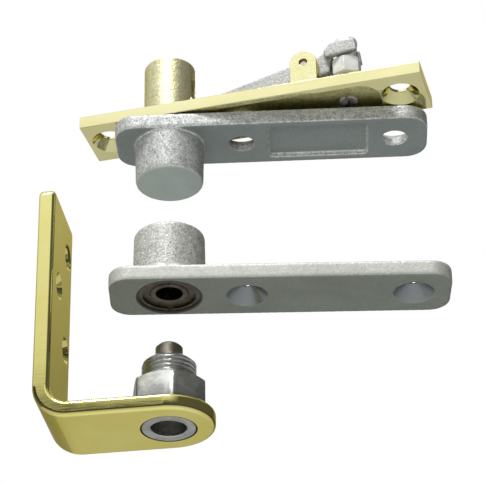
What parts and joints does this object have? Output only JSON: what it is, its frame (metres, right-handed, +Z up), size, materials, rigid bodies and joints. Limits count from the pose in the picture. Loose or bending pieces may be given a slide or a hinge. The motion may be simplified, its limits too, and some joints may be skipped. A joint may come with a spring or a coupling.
{
  "type": "centre-hung door pivot set",
  "caption": "Centre-hung door pivot set: a jamb bracket with an adjustable lower pivot, a door arm on a ball bearing, and a top pivot whose pin is drawn back by a screw and rocking beam.",
  "frame": {"origin": "pivot axis at the underside of the jamb bracket's leg", "axes": "+Z up the pivot axis, +X from the jamb out along the closed door, +Y to the far face of the door"},
  "size_m": [0.1921, 0.0645, 0.1989],
  "materials": {
    "polished_brass": "polished",
    "cast_iron": "fine sand casting, bead blasted",
    "turned_steel": "turned and ground",
    "bright_nut": "bright plated",
    "bearing_steel": "oiled, dark",
    "cage_brass": "pressed",
    "bronze": "oil-filled bronze"
  },
  "bodies": {
    "jamb": {"jamb_bracket": "polished_brass"},
    "pin_lift": {"lower_pivot_pin": "turned_steel"},
    "stud": {"adjusting_stud": "turned_steel"},
    "bearing_seat": {"bearing_inner_ring": "bearing_steel"},
    "cage": {"bearing_cage": "cage_brass", "bearing_balls": "bearing_steel"},
    "arm": {"door_arm": "cast_iron", "bearing_outer_ring": "bearing_steel", "bearing_shield": "bearing_steel", "bearing_snap_ring": "bearing_steel"},
    "head_plate": {"top_frame_plate": "polished_brass", "beam_pivot_pin": "turned_steel"},
    "screw": {"retraction_screw": "turned_steel", "screw_retaining_clip": "bearing_steel"},
    "nut": {"travelling_nut": "bright_nut"},
    "beam": {"walking_beam": "cast_iron"},
    "top_pin": {"top_pin": "turned_steel", "pin_cross_pin": "turned_steel"},
    "top_door": {"top_door_plate": "cast_iron", "pin_bushing": "bronze"}
  },
  "joints": [
    {"name": "stud_height", "type": "slide", "parent": "jamb", "child": "pin_lift", "axis": [0, 0, 1], "range_m": [0, 0.00477]},
    {"name": "stud_turn", "type": "hinge", "parent": "pin_lift", "child": "stud", "pos_m": [0, 0, 0], "axis": [0, 0, 1], "range_deg": [0, 810]},
    {"name": "arm_lift", "type": "slide", "parent": "pin_lift", "child": "bearing_seat", "axis": [0, 0, 1], "range_m": [-0.03511, 0]},
    {"name": "door_swing", "type": "hinge", "parent": "bearing_seat", "child": "arm", "pos_m": [0, 0, 0.06867], "axis": [0, 0, 1], "range_deg": [-95, 95]},
    {"name": "cage_turn", "type": "hinge", "parent": "bearing_seat", "child": "cage", "pos_m": [0, 0, 0.06867], "axis": [0, 0, 1], "range_deg": [-59, 59]},
    {"name": "pivot_spacing", "type": "slide", "parent": "jamb", "child": "head_plate", "axis": [0, 0, 1], "range_m": [0, 0.06]},
    {"name": "top_swing", "type": "hinge", "parent": "head_plate", "child": "top_door", "pos_m": [0, 0, 0.1533], "axis": [0, 0, 1], "range_deg": [-107.37, 82.63]},
    {"name": "retract_screw_turn", "type": "hinge", "parent": "head_plate", "child": "screw", "pos_m": [0.08939, -0.01118, 0.16195], "axis": [0, 0, 1], "range_deg": [0, 1545.6]},
    {"name": "nut_travel", "type": "slide", "parent": "head_plate", "child": "nut", "axis": [0, 0, -1], "range_m": [0, 0.00544]},
    {"name": "beam_rock", "type": "hinge", "parent": "head_plate", "child": "beam", "pos_m": [0.06986, -0.00874, 0.18315], "axis": [0.1241, 0.9923, 0], "range_deg": [0, 15.2]},
    {"name": "pin_retract", "type": "slide", "parent": "head_plate", "child": "top_pin", "axis": [0, 0, 1], "range_m": [0, 0.019]}
  ],
  "couplings": [
    {"joint": "stud_height", "follows": "stud_turn", "m_per_rad": 0.00033688},
    {"joint": "cage_turn", "follows": "door_swing", "ratio": 0.615},
    {"joint": "retract_screw_turn", "follows": "beam_rock", "ratio": 101.29},
    {"joint": "nut_travel", "follows": "beam_rock", "m_per_rad": 0.020473},
    {"joint": "pin_retract", "follows": "beam_rock", "m_per_rad": 0.071541}
  ]
}
